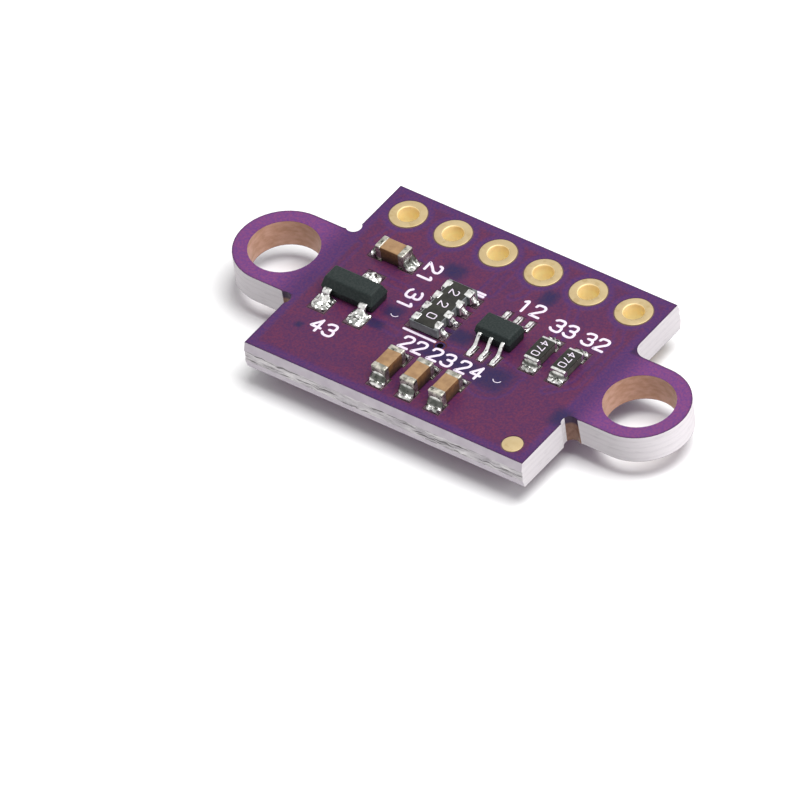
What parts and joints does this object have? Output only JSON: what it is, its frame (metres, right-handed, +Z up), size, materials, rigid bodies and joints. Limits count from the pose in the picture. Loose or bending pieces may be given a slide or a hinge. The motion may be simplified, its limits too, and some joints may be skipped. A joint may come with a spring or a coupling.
{
  "type": "time-of-flight sensor module",
  "caption": "Small purple circuit board with round mounting ears, a row of plated header holes, chip components on top and a black distance sensor package underneath.",
  "frame": {"origin": "on the sensor's face, under the centre of the board's outline", "axes": "+X along the row of header holes and through both ears, +Y from the board's centre towards that row, +Z up out of the component side"},
  "size_m": [0.0248, 0.0122, 0.0035],
  "materials": {
    "laminate": "glass laminate, routed, scored and drilled edges",
    "mask": "glossy purple solder mask",
    "gold": "immersion gold over nickel",
    "solder": "bright reflowed solder",
    "tin": "matt tin plating",
    "capacitor_ceramic": "tan sintered ceramic",
    "alumina": "white alumina",
    "glaze": "black overglaze",
    "moulding": "moulded epoxy, fine matt texture",
    "housing": "black moulded cap",
    "substrate": "dark laminate substrate",
    "filter_glass": "dark infrared filter glass",
    "silicon": "bare polished die"
  },
  "bodies": {
    "root": {"array_ceramic": "alumina", "array_glaze": "glaze", "array_solder": "solder", "array_terminals": "tin", "bottom_lands": "gold", "capacitor_1_cap_left": "tin", "capacitor_1_cap_right": "tin", "capacitor_1_ceramic": "capacitor_ceramic", "capacitor_1_solder": "solder", "capacitor_2_cap_left": "tin", "capacitor_2_cap_right": "tin", "capacitor_2_ceramic": "capacitor_ceramic", "capacitor_2_solder": "solder", "capacitor_3_cap_left": "tin", "capacitor_3_cap_right": "tin", "capacitor_3_ceramic": "capacitor_ceramic", "capacitor_3_solder": "solder", "capacitor_4_cap_left": "tin", "capacitor_4_cap_right": "tin", "capacitor_4_ceramic": "capacitor_ceramic", "capacitor_4_solder": "solder", "emitter_die": "silicon", "emitter_window": "filter_glass", "fiducial_pad": "gold", "header_eyelet_1": "gold", "header_eyelet_2": "gold", "header_eyelet_3": "gold", "header_eyelet_4": "gold", "header_eyelet_5": "gold", "header_eyelet_6": "gold", "laminate_core": "laminate", "receiver_die": "silicon", "receiver_window": "filter_glass", "resistor_1_alumina": "alumina", "resistor_1_glaze": "glaze", "resistor_1_solder": "solder", "resistor_1_terminals": "tin", "resistor_2_alumina": "alumina", "resistor_2_glaze": "glaze", "resistor_2_solder": "solder", "resistor_2_terminals": "tin", "sensor_housing": "housing", "sensor_solder": "solder", "sensor_substrate": "substrate", "shifter_case": "moulding", "shifter_leads": "tin", "shifter_solder": "solder", "solder_mask_bottom": "mask", "solder_mask_top": "mask", "top_lands": "gold", "transistor_case": "moulding", "transistor_leads": "tin", "transistor_solder": "solder"}
  },
  "joints": []
}
